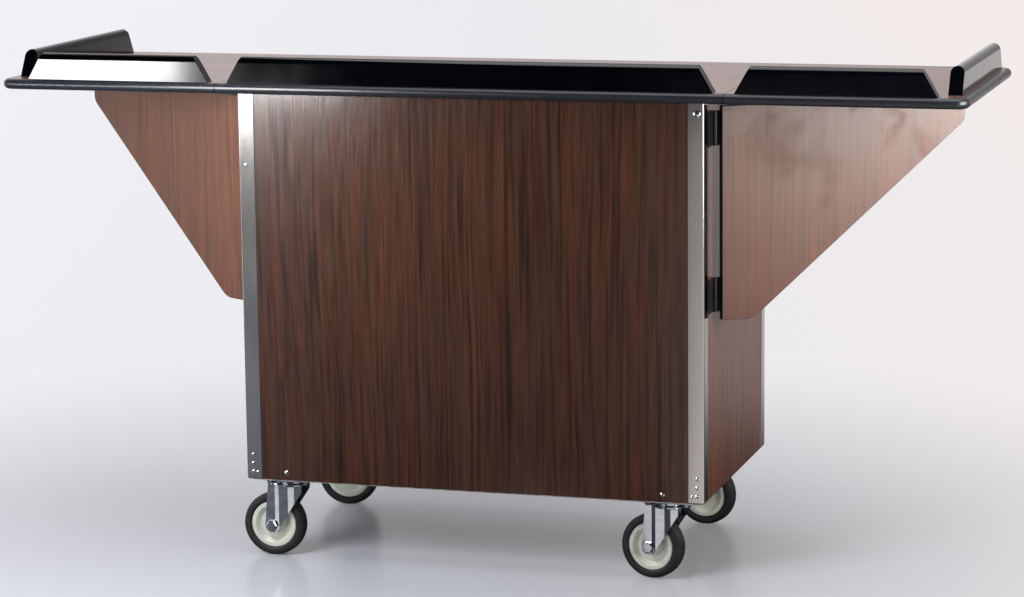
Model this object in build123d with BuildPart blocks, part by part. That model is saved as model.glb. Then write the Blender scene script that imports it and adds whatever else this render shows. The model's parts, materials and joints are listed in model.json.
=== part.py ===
from build123d import *
import os
from math import cos, radians, sin

# A beverage service cart: a laminate cabinet on four swivel casters, under a counter
# with a fixed middle and a hinged leaf at each end, held up by a swing-out bracket.
# The origin is on the floor under the middle of the cart. +X runs to the right of the
# guest side, +Y to the open operator side and +Z up. Millimetres and degrees.

# Cabinet
cabinet_width = 900.0
cabinet_depth = 522.0
panel_thickness = 6.0
panel_lift = 3.25  # panel bottoms above the underside of the pan
post_leg = 30.0
post_wall = 1.5
post_bend_radius = 3.0
post_lift = 5.25  # post bottoms above the underside of the pan
pan_wall = 2.0
pan_depth = 63.25
shelf_height = 520.0
shelf_wall = 1.5
shelf_flange = 25.0
shelf_setback = 14.5  # rear edge of the shelf in from the rear posts
frame_leg = 30.0
frame_wall = 2.0
sheet_gap = 0.1  # folded sheet to the panels around it

# Counter
counter_height = 919.0
counter_thickness = 19.5
counter_overhang = 20.5  # nose of the moulding past the cabinet's front
seam_overhang = 39.0  # each seam past the cabinet's side
leaf_length = 441.0  # seam to the nose of the end moulding
seam_gap = 1.2
leaf_corner_radius = 15.0
moulding_nose = 10.0
barb_depth = 7.5
barb_height = 2.0
kerf_depth = 8.0
kerf_height = 2.2

# Tray rails
rail_thickness = 25.4
rail_height = 50.0
rail_end_angle = 30.0  # end cuts, from upright
rail_top_flat = 0.5  # level strip left between the two rounds of the top edge
rail_setback = 1.5  # front rails in from the counter's core
end_rail_setback = 9.0  # end rails in from the counter's core
rail_seat = 1.0  # how far the rails are let into the counter
rail_seat_gap = 0.1
center_rail_margin = 20.0  # rail ends from each seam
leaf_rail_margin = 17.75  # near end of a leaf's front rail from the seam
corner_rail_gap = 10.7  # far end of a leaf's front rail from its end rail
end_rail_front_margin = 45.5  # end rail from the front of the core, behind the front rail
end_rail_rear_margin = 6.5  # end rail from the rear of the core

# Swing brackets
board_thickness = 19.0
edging_thickness = 1.0
bracket_tip_setback = 52.2  # outer end in from the edge of the leaf's core
bracket_height = 395.8
bracket_foot = 58.0  # flat stretch of the bottom edge
bracket_tip = 43.3  # upright stretch at the outer end
bracket_head_gap = 1.7  # top edge below the knuckles of the leaf hinges
foot_radius = 45.0
tip_radius = 22.0
bracket_swing = 60.0  # from the stop to flat against the cabinet
bracket_pin_setback = 73.6  # hinge axis behind the cabinet's front
bracket_edge_gap = 9.0  # hinge axis to the near edge of the board
leaf_rest_gap = 0.3
glide_length = 40.0
glide_width = 12.0
glide_corner_radius = 4.0
glide_bevel = 1.5
glide_setback = 34.0  # glide's centre in from the bracket's outer end
stop_length = 40.0
stop_width = 15.0
stop_depth = 22.0
stop_bevel = 3.0
stop_distance = 270.0  # stop's centre from the hinge axis
stop_gap = 0.3

# Hinges
knuckle_radius = 5.0
pin_radius = 2.5
hinge_plate = 2.0
hinge_width = 36.0
leaf_hinge_width = 30.0
hinge_neck = 6.0
fold_gap = 0.3  # knuckles to the face that they swing past
knuckle_gap = 0.3
bracket_hinge_length = 64.0
upper_hinge_margin = 41.2  # upper hinge's centre below the bracket's top edge
lower_hinge_margin = 45.9  # lower hinge's centre above the bracket's bottom edge
leaf_hinge_length = 100.0
leaf_hinge_offset = 130.0  # hinge centres from the middle of the seam
running_clearance = 0.05

# Casters
wheel_radius = 61.0
wheel_width = 30.0
wheel_headroom = 31.75  # top of the wheel to the underside of the pan
caster_inset_x = 75.0  # kingpins in from the cabinet's sides
caster_inset_y = 46.0  # kingpins in from the cabinet's front and rear
caster_trail = 36.0
plate_length = 97.0
plate_width = 60.0
plate_thickness = 3.0
plate_corner_radius = 6.0
bolt_pitch_x = 73.0
bolt_pitch_y = 44.5
bolt_radius = 4.0
bolt_hole_gap = 0.3
bolt_head_across = 13.0
bolt_head_height = 5.3
nut_height = 6.5
bolt_tail = 1.0  # bolt end past its nut
race_radius = 30.0
race_bore_radius = 21.0
crown_bolt_gap = 0.6  # fork's crown below the heads of the plate bolts
race_bevel = 2.1
swivel_gap = 0.4
crown_radius = 33.0
crown_thickness = 5.0
crown_bevel = 1.5
fork_wall = 3.0
fork_nose = 7.0  # front of the fork's bridge ahead of the axle
fork_tail = 26.0  # rear of the fork behind the kingpin
fork_shoulder = 16.5  # upright end of the fork below its top
fork_end_radius = 14.5
fork_clearance = 3.0  # tyre to each leg
axle_step = 6.3  # first pressed step of a leg behind the axle
axle_step_length = 8.2
axle_step_rise = 1.0
tail_step = 33.3  # second pressed step behind the axle
tail_step_length = 13.5
tail_step_rise = 1.7
axle_seat_radius = 12.0  # flat round each head of the axle bolt
kingpin_radius = 6.0
kingpin_head_across = 17.0
kingpin_head_height = 6.0
axle_radius = 5.0
axle_head_across = 19.0
axle_head_bevel = 1.6
axle_head_height = 6.4
axle_tail = 1.0  # bolt end past its nut
rim_radius = 45.0
rim_width = 26.0
rim_bevel = 1.2
hub_recess_radius = 37.5  # inner edge of the rim's lip
hub_disc_radius = 29.0  # foot of the cone inside the lip
hub_disc_width = 14.0
hub_ring_radius = 20.0  # raised middle of the disc
hub_ring_step = 1.0
hub_boss_radius = 13.5
hub_end_gap = 0.4
hub_draft = 1.5
tread_width = 14.0
tyre_bead = 4.0
shoulder_height = 7.0
shoulder_round = 2.0  # rise of the shoulder over a plain bevel

# Where each caster stands and how far it has turned from trailing to the left
caster_turns = {
    "front_left": (-1, -1, 0.0),
    "front_right": (1, -1, -12.0),
    "rear_left": (-1, 1, 9.0),
    "rear_right": (1, 1, -12.0),
}

# Derived sizes
caster_height = 2 * wheel_radius + wheel_headroom
half_width = cabinet_width / 2
half_depth = cabinet_depth / 2
panel_outer_x = half_width - post_wall
panel_inner_x = panel_outer_x - panel_thickness
panel_outer_y = half_depth - post_wall
panel_inner_y = panel_outer_y - panel_thickness
panel_bottom = caster_height + panel_lift
post_bottom = caster_height + post_lift
counter_bottom = counter_height - counter_thickness
core_half_depth = half_depth + counter_overhang - moulding_nose
seam_x = half_width + seam_overhang
center_half_length = seam_x - seam_gap / 2
leaf_inner_x = seam_x + seam_gap / 2
leaf_outer_x = seam_x + leaf_length - moulding_nose
skin_thickness = (counter_thickness - kerf_height) / 2
rail_line_y = -(core_half_depth - rail_setback - rail_thickness / 2)
rail_base = counter_height - rail_seat
rail_nose_radius = (rail_thickness - rail_top_flat) / 2
center_rail_length = 2 * (seam_x - center_rail_margin)
end_rail_x = leaf_outer_x - end_rail_setback - rail_thickness / 2
end_rail_y = (end_rail_front_margin - end_rail_rear_margin) / 2
end_rail_length = 2 * core_half_depth - end_rail_front_margin - end_rail_rear_margin
leaf_rail_inner_x = seam_x + leaf_rail_margin
leaf_rail_outer_x = end_rail_x - rail_thickness / 2 - corner_rail_gap
leaf_rail_length = leaf_rail_outer_x - leaf_rail_inner_x
leaf_rail_x = (leaf_rail_inner_x + leaf_rail_outer_x) / 2
bore_radius = pin_radius + running_clearance
leaf_hinge_z = counter_bottom - fold_gap - knuckle_radius
bracket_drop = fold_gap + 2 * knuckle_radius + bracket_head_gap
bracket_top = counter_bottom - bracket_drop
bracket_bottom = bracket_top - bracket_height
bracket_pin_x = panel_outer_x + knuckle_radius + fold_gap
bracket_pin_y = bracket_pin_setback - half_depth
bracket_turn = radians(90.0 - bracket_swing)
board_back = hinge_plate - knuckle_radius
board_front = board_back + board_thickness
bracket_far_edge = (leaf_outer_x - bracket_tip_setback - bracket_pin_x) / cos(bracket_turn)
hinge_plate_face = knuckle_radius + fold_gap
bolt_hole_radius = bolt_radius + bolt_hole_gap
plate_bottom = caster_height - plate_thickness
race_height = bolt_head_height + crown_bolt_gap - swivel_gap
crown_top = plate_bottom - race_height - swivel_gap
crown_bottom = crown_top - crown_thickness
fork_inner = wheel_width / 2 + fork_clearance
fork_outer = fork_inner + fork_wall
fork_bottom = wheel_radius - fork_end_radius
fork_length = fork_nose + caster_trail + fork_tail
fork_reach = caster_trail + fork_end_radius + fork_tail  # past both ends of the fork
hub_end = fork_inner - hub_end_gap
caster_points = [
    (side * (half_width - caster_inset_x), end * (half_depth - caster_inset_y))
    for side, end, turn in caster_turns.values()
]

os.makedirs("parts", exist_ok=True)


def write(part, name):
    """Label one finished piece and write it to its own file."""
    part.label = name
    export_step(part, f"parts/{name}.step")


def write_pair(part, name):
    """Write a right-hand piece and its mirror image on the left."""
    write(part, f"right_{name}")
    with BuildPart() as left_piece:
        add(part)
        mirror(about=Plane.YZ, mode=Mode.REPLACE)
    write(left_piece.part, f"left_{name}")


# Cabinet panels
with BuildPart() as front_panel:
    with BuildSketch(Plane.XY.offset(panel_bottom)):
        with Locations((0, -panel_outer_y)):
            Rectangle(2 * panel_outer_x, panel_thickness, align=(Align.CENTER, Align.MIN))
    extrude(amount=counter_bottom - panel_bottom)
write(front_panel.part, "front_panel")

with BuildPart() as side_panel:
    with BuildSketch(Plane.XY.offset(panel_bottom)):
        with Locations((panel_outer_x, -panel_inner_y)):
            Rectangle(panel_thickness, panel_inner_y + panel_outer_y, align=(Align.MAX, Align.MIN))
    extrude(amount=counter_bottom - panel_bottom)
write_pair(side_panel.part, "panel")

# Corner posts, bent angles that wrap the panel edges
for end_name, end in (("front", -1), ("rear", 1)):
    for side_name, side in (("left", -1), ("right", 1)):
        corner_align = (
            Align.MAX if side > 0 else Align.MIN,
            Align.MAX if end > 0 else Align.MIN,
        )
        with BuildPart() as post:
            with BuildSketch(Plane.XY.offset(post_bottom)):
                with Locations((side * half_width, end * half_depth)):
                    Rectangle(post_leg, post_leg, align=corner_align)
                fillet(vertices().sort_by_distance((0, 0))[-1], radius=post_bend_radius)
                with Locations((side * panel_outer_x, end * panel_outer_y)):
                    Rectangle(post_leg, post_leg, align=corner_align, mode=Mode.SUBTRACT)
            extrude(amount=counter_bottom - post_bottom)
        write(post.part, f"post_{end_name}_{side_name}")

# Floor sheet with the caster bolt holes, and the flanges welded round it
sheet_width = 2 * (panel_inner_x - sheet_gap)
sheet_front_y = sheet_gap - panel_inner_y
sheet_rear_y = panel_outer_y - sheet_gap
sheet_middle_y = (sheet_front_y + sheet_rear_y) / 2

sheet_depth = sheet_rear_y - sheet_front_y

with BuildPart() as base_pan:
    with BuildSketch(Plane.XY.offset(caster_height)):
        with Locations((0, sheet_middle_y)):
            Rectangle(sheet_width, sheet_depth)
        with Locations(*caster_points):
            with GridLocations(bolt_pitch_x, bolt_pitch_y, 2, 2):
                Circle(bolt_hole_radius, mode=Mode.SUBTRACT)
    extrude(amount=pan_wall)
write(base_pan.part, "base_pan")

with BuildPart() as pan_flanges:
    with BuildSketch(Plane.XY.offset(caster_height + pan_wall)):
        with Locations((0, sheet_middle_y)):
            Rectangle(sheet_width, sheet_depth)
            Rectangle(sheet_width - 2 * pan_wall, sheet_depth - 2 * pan_wall, mode=Mode.SUBTRACT)
    extrude(amount=pan_depth - pan_wall)
write(pan_flanges.part, "pan_flanges")

# Shelf, folded down on four sides
shelf_rear_y = sheet_rear_y - shelf_setback
with BuildPart() as shelf:
    with BuildSketch(Plane.XY.offset(shelf_height - shelf_flange)):
        with Locations((0, sheet_front_y)):
            Rectangle(sheet_width, shelf_rear_y - sheet_front_y, align=(Align.CENTER, Align.MIN))
    extrude(amount=shelf_flange)
    offset(amount=-shelf_wall, openings=faces().sort_by(Axis.Z)[0], kind=Kind.INTERSECTION)
write(shelf.part, "shelf")

# Angle frame that carries the counter
with BuildPart() as upper_frame:
    for depth, leg in ((frame_leg, frame_wall), (frame_wall, frame_leg)):
        with BuildSketch(Plane.XY.offset(counter_bottom - depth)):
            with Locations((0, sheet_middle_y)):
                Rectangle(sheet_width, sheet_depth)
                Rectangle(sheet_width - 2 * leg, sheet_depth - 2 * leg, mode=Mode.SUBTRACT)
        extrude(amount=depth)
write(upper_frame.part, "upper_frame")


# Counter
def counter_layers(outline):
    """Three layers of the counter's core, the middle one drawn in to leave the kerf."""
    layers = ((0.0, skin_thickness, 0.0), (skin_thickness, kerf_height, kerf_depth))
    layers += ((skin_thickness + kerf_height, skin_thickness, 0.0),)
    for rise, thickness, inset in layers:
        with BuildSketch(Plane.XY.offset(counter_bottom + rise)) as layer:
            outline(inset)
        extrude(layer.sketch, amount=thickness)


def center_outline(inset):
    Rectangle(2 * center_half_length, 2 * (core_half_depth - inset))


def leaf_outline(inset):
    with Locations((leaf_inner_x, 0)):
        Rectangle(
            leaf_outer_x - leaf_inner_x - inset,
            2 * (core_half_depth - inset),
            align=(Align.MIN, Align.CENTER),
        )
    fillet(vertices().group_by(Axis.X)[-1], radius=leaf_corner_radius - inset)


def rail_seat_cut(x, y, length_x, length_y):
    """Shallow seat in the counter for one rail."""
    with BuildSketch(Plane.XY.offset(counter_height)) as seat:
        with Locations((x, y)):
            Rectangle(length_x + 2 * rail_seat_gap, length_y + 2 * rail_seat_gap)
    extrude(seat.sketch, amount=-rail_seat, mode=Mode.SUBTRACT)


def moulding_section():
    """Half-round bumper with a barb, X pointing out of the counter's edge."""
    nose_radius = counter_thickness / 2
    with Locations((moulding_nose - nose_radius, 0)):
        Circle(nose_radius)
    Rectangle(moulding_nose - nose_radius, counter_thickness, align=(Align.MIN, Align.CENTER))
    Rectangle(counter_thickness, counter_thickness, align=(Align.MAX, Align.CENTER), mode=Mode.SUBTRACT)
    Rectangle(barb_depth, barb_height, align=(Align.MAX, Align.CENTER))


with BuildPart() as center_top:
    counter_layers(center_outline)
    rail_seat_cut(0, rail_line_y, center_rail_length, rail_thickness)
write(center_top.part, "center_top")

edge_z = counter_bottom + counter_thickness / 2
with BuildPart() as center_mouldings:
    with BuildSketch(Plane((-center_half_length, -core_half_depth, edge_z), (0, -1, 0), (1, 0, 0))):
        moulding_section()
    extrude(amount=2 * center_half_length)
    mirror(about=Plane.XZ)
write(center_mouldings.part, "center_mouldings")

with BuildPart() as leaf_top:
    counter_layers(leaf_outline)
    rail_seat_cut(leaf_rail_x, rail_line_y, leaf_rail_length, rail_thickness)
    rail_seat_cut(end_rail_x, end_rail_y, rail_thickness, end_rail_length)
write_pair(leaf_top.part, "leaf_top")

with BuildPart() as leaf_moulding:
    with BuildLine() as leaf_edge:
        FilletPolyline(
            (leaf_inner_x, -core_half_depth, edge_z),
            (leaf_outer_x, -core_half_depth, edge_z),
            (leaf_outer_x, core_half_depth, edge_z),
            (leaf_inner_x, core_half_depth, edge_z),
            radius=leaf_corner_radius,
        )
    with BuildSketch(Plane((leaf_inner_x, -core_half_depth, edge_z), (0, -1, 0), (1, 0, 0))):
        moulding_section()
    sweep(path=leaf_edge.wire())
write_pair(leaf_moulding.part, "leaf_moulding")


# Tray rails
def tray_rail(foot_plane, length):
    """Rail with slanted ends and a bullnose top, standing on foot_plane's X axis."""
    with BuildPart() as rail:
        with BuildSketch(foot_plane):
            Trapezoid(
                length,
                rail_height + rail_seat,
                90.0 - rail_end_angle,
                align=(Align.CENTER, Align.MIN),
            )
        extrude(amount=rail_thickness / 2, both=True)
        long_edges = faces().sort_by(Axis.Z)[-1].edges().sort_by(SortBy.LENGTH)[-2:]
        fillet(long_edges, radius=rail_nose_radius)
    return rail.part


write(
    tray_rail(Plane((0, rail_line_y, rail_base), (1, 0, 0), (0, -1, 0)), center_rail_length),
    "center_front_rail",
)
write_pair(
    tray_rail(Plane((leaf_rail_x, rail_line_y, rail_base), (1, 0, 0), (0, -1, 0)), leaf_rail_length),
    "leaf_front_rail",
)
write_pair(
    tray_rail(Plane((end_rail_x, end_rail_y, rail_base), (0, 1, 0), (1, 0, 0)), end_rail_length),
    "leaf_end_rail",
)

# Swing bracket on the right, turned out to its stop
bracket_along = (cos(bracket_turn), sin(bracket_turn), 0)
bracket_normal = (sin(bracket_turn), -cos(bracket_turn), 0)
board_plane = Plane((bracket_pin_x, bracket_pin_y, 0), bracket_along, bracket_normal)


def bracket_plan(height):
    """Level plane on the hinge axis, X along the board and Y out of its back."""
    return Plane((bracket_pin_x, bracket_pin_y, height), bracket_along, (0, 0, 1))


def bracket_outline():
    """Board seen square on: hinge edge upright, outer end cut away below."""
    with BuildLine() as outline:
        FilletPolyline(
            (bracket_edge_gap, bracket_top),
            (bracket_edge_gap, bracket_bottom),
            (bracket_edge_gap + bracket_foot, bracket_bottom),
            (bracket_far_edge, bracket_top - bracket_tip),
            (bracket_far_edge, bracket_top),
            radius=(0, foot_radius, tip_radius),
        )
        Line((bracket_far_edge, bracket_top), (bracket_edge_gap, bracket_top))
    make_face(outline.edges())


with BuildPart() as bracket_board:
    with BuildSketch(board_plane.offset(board_back)):
        bracket_outline()
        offset(amount=-edging_thickness, kind=Kind.INTERSECTION, mode=Mode.REPLACE)
    extrude(amount=board_thickness)
write_pair(bracket_board.part, "bracket")

with BuildPart() as bracket_edging:
    with BuildSketch(board_plane.offset(board_back)):
        bracket_outline()
        offset(amount=-edging_thickness, kind=Kind.INTERSECTION, mode=Mode.SUBTRACT)
    extrude(amount=board_thickness)
write_pair(bracket_edging.part, "bracket_edging")

with BuildPart() as bracket_glide:
    with BuildSketch(bracket_plan(bracket_top)):
        with Locations((bracket_far_edge - glide_setback, -(board_back + board_front) / 2)):
            RectangleRounded(glide_length, glide_width, glide_corner_radius)
    extrude(amount=bracket_drop - leaf_rest_gap)
    chamfer(faces().sort_by(Axis.Z)[-1].edges(), length=glide_bevel)
write_pair(bracket_glide.part, "bracket_glide")

with BuildPart() as bracket_stop:
    with BuildSketch(bracket_plan(counter_bottom - stop_depth)):
        with Locations((stop_distance, -(board_front + stop_gap))):
            Rectangle(stop_length, stop_width, align=(Align.CENTER, Align.MAX))
    extrude(amount=stop_depth)
    chamfer(faces().sort_by(Axis.Z)[0].edges(), length=stop_bevel)
write_pair(bracket_stop.part, "bracket_stop")


# Butt hinges
def hinge_half(frame, width, length, plate_face, knuckles):
    """One half of a hinge. Z runs along the pin, X over the plate, and Y points at what it is
    screwed to, plate_face away. knuckles holds the start and end of each knuckle."""
    plate_side = 1 if plate_face > 0 else -1
    plate_middle = plate_face - plate_side * hinge_plate / 2
    with BuildPart() as half:
        with BuildSketch(frame):
            with Locations((hinge_neck, plate_middle)):
                Rectangle(width - hinge_neck, hinge_plate, align=(Align.MIN, Align.CENTER))
        extrude(amount=length)
        for start, finish in knuckles:
            with BuildSketch(frame.offset(start)):
                Circle(knuckle_radius)
                with Locations((0, plate_middle)):
                    Rectangle(hinge_neck, hinge_plate, align=(Align.MIN, Align.CENTER))
                Circle(bore_radius, mode=Mode.SUBTRACT)
            extrude(amount=finish - start)
    return half.part


def end_knuckles(length):
    return ((0.0, length / 3), (2 * length / 3, length))


def middle_knuckle(length):
    return ((length / 3 + knuckle_gap, 2 * length / 3 - knuckle_gap),)


bracket_hinge_floors = [
    middle - bracket_hinge_length / 2
    for middle in (bracket_top - upper_hinge_margin, bracket_bottom + lower_hinge_margin)
]
leaf_hinge_starts = [side * leaf_hinge_offset - leaf_hinge_length / 2 for side in (-1, 1)]

with BuildPart() as bracket_hinge_plates:
    for floor in bracket_hinge_floors:
        pin_frame = Plane((bracket_pin_x, bracket_pin_y, floor), (0, -1, 0), (0, 0, 1))
        add(
            hinge_half(
                pin_frame,
                hinge_width,
                bracket_hinge_length,
                -hinge_plate_face,
                end_knuckles(bracket_hinge_length),
            )
        )
    mirror(about=Plane.YZ)
write(bracket_hinge_plates.part, "bracket_hinge_plates")

with BuildPart() as bracket_hinge_leaves:
    for floor in bracket_hinge_floors:
        add(
            hinge_half(
                bracket_plan(floor),
                hinge_width,
                bracket_hinge_length,
                knuckle_radius,
                middle_knuckle(bracket_hinge_length),
            )
        )
write_pair(bracket_hinge_leaves.part, "bracket_hinge_leaves")

with BuildPart() as leaf_hinge_plates:
    for start in leaf_hinge_starts:
        pin_frame = Plane((seam_x, start, leaf_hinge_z), (-1, 0, 0), (0, 1, 0))
        add(
            hinge_half(
                pin_frame,
                leaf_hinge_width,
                leaf_hinge_length,
                hinge_plate_face,
                end_knuckles(leaf_hinge_length),
            )
        )
    mirror(about=Plane.YZ)
write(leaf_hinge_plates.part, "leaf_hinge_plates")

with BuildPart() as leaf_hinge_leaves:
    for start in leaf_hinge_starts:
        pin_frame = Plane((seam_x, start + leaf_hinge_length, leaf_hinge_z), (1, 0, 0), (0, -1, 0))
        add(
            hinge_half(
                pin_frame,
                leaf_hinge_width,
                leaf_hinge_length,
                hinge_plate_face,
                middle_knuckle(leaf_hinge_length),
            )
        )
write_pair(leaf_hinge_leaves.part, "leaf_hinge_leaves")

with BuildPart() as hinge_pins:
    for floor in bracket_hinge_floors:
        with BuildSketch(Plane.XY.offset(floor)):
            with Locations((bracket_pin_x, bracket_pin_y)):
                Circle(pin_radius)
        extrude(amount=bracket_hinge_length)
    for start in leaf_hinge_starts:
        with BuildSketch(Plane.XZ.offset(-start)):
            with Locations((seam_x, leaf_hinge_z)):
                Circle(pin_radius)
        extrude(amount=-leaf_hinge_length)
    mirror(about=Plane.YZ)
write(hinge_pins.part, "hinge_pins")

# Caster pieces, each made once about its kingpin and trailing to the left
axle_point = (-caster_trail, 0, wheel_radius)
wheel_axis = Axis(axle_point, (0, 1, 0))
wheel_plane = Plane(axle_point)

with BuildPart() as caster_plate:
    with BuildSketch(Plane.XY.offset(plate_bottom)):
        RectangleRounded(plate_length, plate_width, plate_corner_radius)
        with GridLocations(bolt_pitch_x, bolt_pitch_y, 2, 2):
            Circle(bolt_hole_radius, mode=Mode.SUBTRACT)
        Circle(kingpin_radius + running_clearance, mode=Mode.SUBTRACT)
    extrude(amount=plate_thickness)
    with BuildSketch(Plane.XY.offset(plate_bottom - race_height)):
        Circle(race_radius)
        Circle(race_bore_radius, mode=Mode.SUBTRACT)
    extrude(amount=race_height)
    chamfer(faces().sort_by(Axis.Z)[0].outer_wire().edges(), length=race_bevel)

with BuildPart() as kingpin:
    with BuildSketch(Plane.XY.offset(crown_bottom - swivel_gap - kingpin_head_height)):
        RegularPolygon(kingpin_head_across / 2, 6, major_radius=False)
    extrude(amount=kingpin_head_height)
    with BuildSketch(Plane.XY.offset(crown_bottom - swivel_gap)):
        Circle(kingpin_radius)
    extrude(amount=caster_height - crown_bottom + swivel_gap)


def fork_plan(half_gap):
    """Corners of the fork's plan at one face of its walls, which step outward behind the axle."""
    corners = [(-fork_reach, half_gap)]
    for start, length, rise in (
        (axle_step, axle_step_length, axle_step_rise),
        (tail_step, tail_step_length, tail_step_rise),
    ):
        corners.append((start - caster_trail, half_gap))
        half_gap += rise
        corners.append((start + length - caster_trail, half_gap))
    corners.append((fork_reach, half_gap))
    return corners + [(x, -y) for x, y in reversed(corners)]


with BuildPart() as caster_fork:
    with BuildSketch(Plane.XY.offset(fork_bottom)):
        Polygon(*fork_plan(fork_outer), align=None)
    extrude(amount=crown_top - fork_bottom)
    fillet(edges().group_by(Axis.Z)[-1].filter_by(Axis.Y, reverse=True), radius=fork_wall)
    with BuildSketch(Plane.XY.offset(fork_bottom)):
        Polygon(*fork_plan(fork_inner), align=None)
    extrude(amount=crown_bottom - fork_bottom, mode=Mode.SUBTRACT)
    with BuildSketch(Plane.XZ):
        with Locations((-caster_trail, wheel_radius)):
            Circle(fork_end_radius)
        with Locations((fork_tail, crown_top)):
            Rectangle(fork_length, fork_shoulder, align=(Align.MAX, Align.MAX))
        make_hull()
    extrude(amount=fork_reach, both=True, mode=Mode.INTERSECT)
    with BuildSketch(Plane.XZ):
        with BuildLine():
            Polyline(
                (0, crown_bottom),
                (crown_radius - crown_bevel, crown_bottom),
                (crown_radius, crown_bottom + crown_bevel),
                (crown_radius, crown_top - crown_bevel),
                (crown_radius - crown_bevel, crown_top),
                (0, crown_top),
                close=True,
            )
        make_face()
    revolve(axis=Axis.Z)
    for leg_side in (-1, 1):
        with BuildSketch(Plane.XZ.offset(leg_side * fork_outer)):
            with Locations((-caster_trail, wheel_radius)):
                Circle(axle_seat_radius)
        extrude(amount=leg_side * axle_step_rise, mode=Mode.SUBTRACT)
    with BuildSketch(Plane.XZ):
        with Locations((-caster_trail, wheel_radius)):
            Circle(axle_radius + running_clearance)
    extrude(amount=2 * fork_outer, both=True, mode=Mode.SUBTRACT)
    with BuildSketch(Plane.XY.offset(crown_bottom)):
        Circle(kingpin_radius + running_clearance)
    extrude(amount=2 * crown_thickness, mode=Mode.SUBTRACT)

with BuildPart() as caster_axle:
    for head_side in (-1, 1):
        with BuildSketch(Plane.XZ.offset(head_side * fork_outer)):
            with Locations((-caster_trail, wheel_radius)):
                RegularPolygon(axle_head_across / 2, 6, major_radius=False)
        extrude(amount=head_side * axle_head_height)
    head_faces = faces().sort_by(Axis.Y)
    chamfer(head_faces[0].edges() + head_faces[-1].edges(), length=axle_head_bevel)
    with BuildSketch(Plane.XZ.offset(fork_outer)):
        with Locations((-caster_trail, wheel_radius)):
            Circle(axle_radius)
    extrude(amount=-(2 * fork_outer + axle_head_height + axle_tail))

with BuildPart() as wheel_hub:
    with BuildSketch(wheel_plane):
        with BuildLine():
            half_profile = Polyline(
                (axle_radius + running_clearance, 0),
                (axle_radius + running_clearance, hub_end),
                (hub_boss_radius - hub_draft, hub_end),
                (hub_boss_radius, hub_disc_width / 2 + hub_ring_step),
                (hub_ring_radius, hub_disc_width / 2 + hub_ring_step),
                (hub_ring_radius + hub_ring_step, hub_disc_width / 2),
                (hub_disc_radius, hub_disc_width / 2),
                (hub_recess_radius, rim_width / 2),
                (rim_radius - rim_bevel, rim_width / 2),
                (rim_radius, rim_width / 2 - rim_bevel),
                (rim_radius, 0),
            )
            mirror(half_profile, about=Plane.XZ)
        make_face()
    revolve(axis=wheel_axis)

with BuildPart() as wheel_tyre:
    with BuildSketch(wheel_plane):
        with BuildLine():
            half_profile = Polyline(
                (rim_radius, 0),
                (rim_radius, rim_width / 2 - rim_bevel),
                (rim_radius + tyre_bead, wheel_width / 2),
                (wheel_radius - shoulder_height, wheel_width / 2),
                (
                    wheel_radius - shoulder_height / 2 + shoulder_round,
                    (wheel_width + tread_width) / 4 + shoulder_round,
                ),
                (wheel_radius, tread_width / 2),
                (wheel_radius, 0),
            )
            mirror(half_profile, about=Plane.XZ)
        make_face()
    revolve(axis=wheel_axis)

# Casters set out under the pan
turned_pieces = {
    "caster_fork": caster_fork.part,
    "caster_axle": caster_axle.part,
    "wheel_hub": wheel_hub.part,
    "wheel_tyre": wheel_tyre.part,
}
for (corner, (side, end, turn)), (caster_x, caster_y) in zip(caster_turns.items(), caster_points):
    with BuildPart() as fixed_plate:
        with Locations(Location((caster_x, caster_y, 0))):
            add(caster_plate.part)
    write(fixed_plate.part, f"caster_plate_{corner}")
    for name, piece in turned_pieces.items():
        with BuildPart() as turned_piece:
            with Locations(Location((caster_x, caster_y, 0), (0, 0, turn))):
                add(piece)
        write(turned_piece.part, f"{name}_{corner}")

with BuildPart() as caster_kingpins:
    with Locations(*caster_points):
        add(kingpin.part)
write(caster_kingpins.part, "caster_kingpins")

bolt_top = caster_height + pan_wall + nut_height + bolt_tail
with BuildPart() as caster_bolts:
    with BuildSketch(Plane.XY.offset(plate_bottom - bolt_head_height)):
        with Locations(*caster_points):
            with GridLocations(bolt_pitch_x, bolt_pitch_y, 2, 2):
                RegularPolygon(bolt_head_across / 2, 6, major_radius=False)
    extrude(amount=bolt_head_height)
    with BuildSketch(Plane.XY.offset(plate_bottom)):
        with Locations(*caster_points):
            with GridLocations(bolt_pitch_x, bolt_pitch_y, 2, 2):
                Circle(bolt_radius)
    extrude(amount=bolt_top - plate_bottom)
    with BuildSketch(Plane.XY.offset(caster_height + pan_wall)):
        with Locations(*caster_points):
            with GridLocations(bolt_pitch_x, bolt_pitch_y, 2, 2):
                RegularPolygon(bolt_head_across / 2, 6, major_radius=False)
    extrude(amount=nut_height)
write(caster_bolts.part, "caster_bolts")
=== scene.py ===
import json
from math import cos, pi, radians, sin

import bmesh
import bpy
from mathutils import Matrix, Vector


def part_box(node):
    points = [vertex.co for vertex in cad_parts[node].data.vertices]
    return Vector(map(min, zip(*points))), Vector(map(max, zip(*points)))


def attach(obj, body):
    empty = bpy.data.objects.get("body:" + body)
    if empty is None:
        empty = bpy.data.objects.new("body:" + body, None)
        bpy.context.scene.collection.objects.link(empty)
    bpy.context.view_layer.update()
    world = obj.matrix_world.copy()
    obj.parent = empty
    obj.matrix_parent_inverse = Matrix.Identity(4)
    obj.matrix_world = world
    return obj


# The finish of a beverage service cart: woodgrain laminate, bright metal posts, black tray
# rails and edge moulding, and zinc casters. Metres and degrees, +Z up, guests at -Y.

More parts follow.
